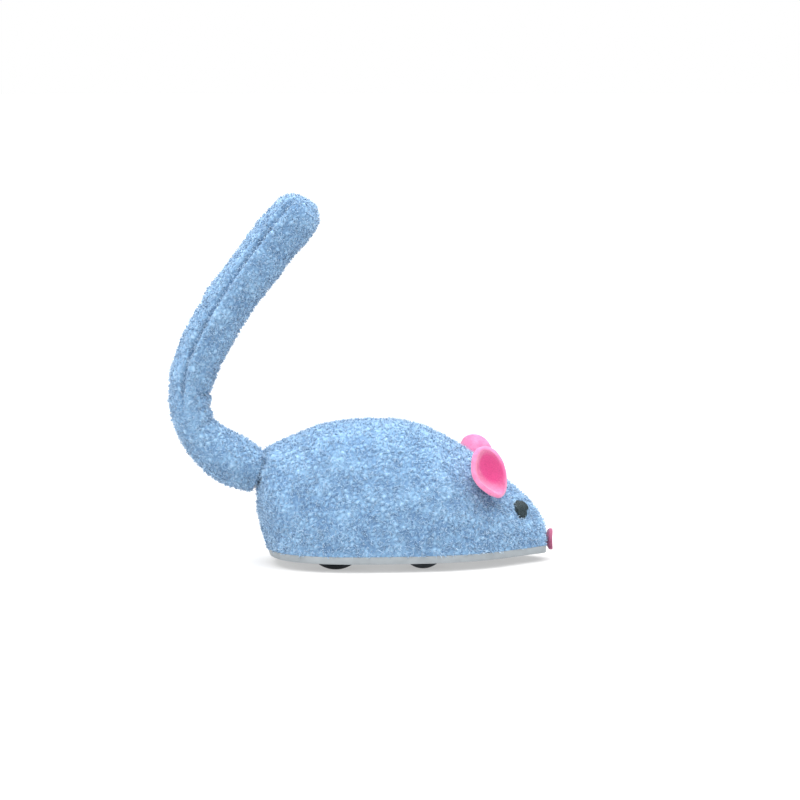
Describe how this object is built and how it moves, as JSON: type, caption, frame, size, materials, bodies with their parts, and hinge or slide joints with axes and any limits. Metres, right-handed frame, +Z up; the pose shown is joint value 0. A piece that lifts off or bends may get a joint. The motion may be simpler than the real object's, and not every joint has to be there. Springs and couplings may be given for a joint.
{
  "type": "clockwork mouse",
  "caption": "Wind-up toy mouse: fleece body and raised stuffed tail, felt ears and nose, on a plastic base with wheels, gear train, mainspring and side key.",
  "frame": {"origin": "on the floor under the mouse, on its centre plane, midway between the two axles", "axes": "+X towards the nose, +Y towards the mouse's left (the key's side), +Z up"},
  "size_m": [0.1291, 0.064, 0.1219],
  "materials": {
    "fleece": "short curly polyester pile, pale blue",
    "wadding": "loose white polyester fibre",
    "pink_felt": "soft pressed felt, pink",
    "raspberry_felt": "soft pressed felt, raspberry",
    "dark_thread": "satin-stitched thread, blue-black",
    "base_plastic": "moulded, fine matt grain",
    "shell_plastic": "moulded, matt",
    "case_plastic": "moulded, satin",
    "gear_plastic": "moulded, smooth",
    "wheel_plastic": "moulded, smooth, blue-black",
    "tyre_rubber": "matt black rubber",
    "key_plastic": "moulded, smooth, off-white",
    "axle_steel": "drawn steel rod",
    "screw_steel": "zinc plated",
    "spring_steel": "blued strip",
    "brass": "stamped sheet"
  },
  "bodies": {
    "chassis": {"base_plate": "base_plastic", "body_shell": "shell_plastic", "body_cover": "fleece", "ear_left": "pink_felt", "ear_right": "pink_felt", "eye_left": "dark_thread", "eye_right": "dark_thread", "nose": "raspberry_felt", "motor_case_left": "case_plastic", "motor_case_right": "case_plastic", "case_screws": "screw_steel", "motor_screws": "screw_steel", "shell_screws": "screw_steel", "mainspring": "spring_steel", "spring_post": "axle_steel"},
    "key": {"winding_key": "key_plastic", "winding_arbor": "axle_steel", "ratchet_wheel": "brass"},
    "first_wheel": {"great_gear": "gear_plastic", "click_spring": "spring_steel", "click_rivet": "brass"},
    "idler": {"idler_shaft": "axle_steel", "idler_gear": "gear_plastic", "idler_pinion": "gear_plastic"},
    "rear_wheels": {"rear_axle": "axle_steel", "axle_pinion": "gear_plastic", "rear_wheel_left": "wheel_plastic", "rear_wheel_right": "wheel_plastic", "rear_tyre_left": "tyre_rubber", "rear_tyre_right": "tyre_rubber"},
    "front_wheels": {"front_axle": "axle_steel", "front_wheel_left": "wheel_plastic", "front_wheel_right": "wheel_plastic"},
    "tail": {"tail_cover": "fleece", "tail_filling": "wadding"}
  },
  "joints": [
    {"name": "rear_axle_spin", "type": "hinge", "parent": "chassis", "child": "rear_wheels", "pos_m": [-0.0145, 0, 0.0099], "axis": [0, 1, 0], "continuous": true},
    {"name": "idler_spin", "type": "hinge", "parent": "chassis", "child": "idler", "pos_m": [-0.0134, 0, 0.02034], "axis": [0, 1, 0], "continuous": true},
    {"name": "great_gear_spin", "type": "hinge", "parent": "chassis", "child": "first_wheel", "pos_m": [-0.0019, 0, 0.02034], "axis": [0, 1, 0], "continuous": true},
    {"name": "front_axle_spin", "type": "hinge", "parent": "chassis", "child": "front_wheels", "pos_m": [0.0145, 0, 0.00735], "axis": [0, 1, 0], "continuous": true},
    {"name": "key_turn", "type": "hinge", "parent": "chassis", "child": "key", "pos_m": [-0.0019, 0, 0.02034], "axis": [0, -1, 0], "range_deg": [0, 1440], "deforming": ["mainspring", "click_spring"]},
    {"name": "tail_sway", "type": "hinge", "parent": "chassis", "child": "tail", "pos_m": [-0.04433, 0, 0.03283], "axis": [0, 0, 1], "range_deg": [-20, 20], "stiffness_Nm_per_rad": 0.004}
  ],
  "couplings": [
    {"joint": "idler_spin", "follows": "rear_axle_spin", "ratio": -0.3125},
    {"joint": "great_gear_spin", "follows": "rear_axle_spin", "ratio": 0.086806}
  ]
}
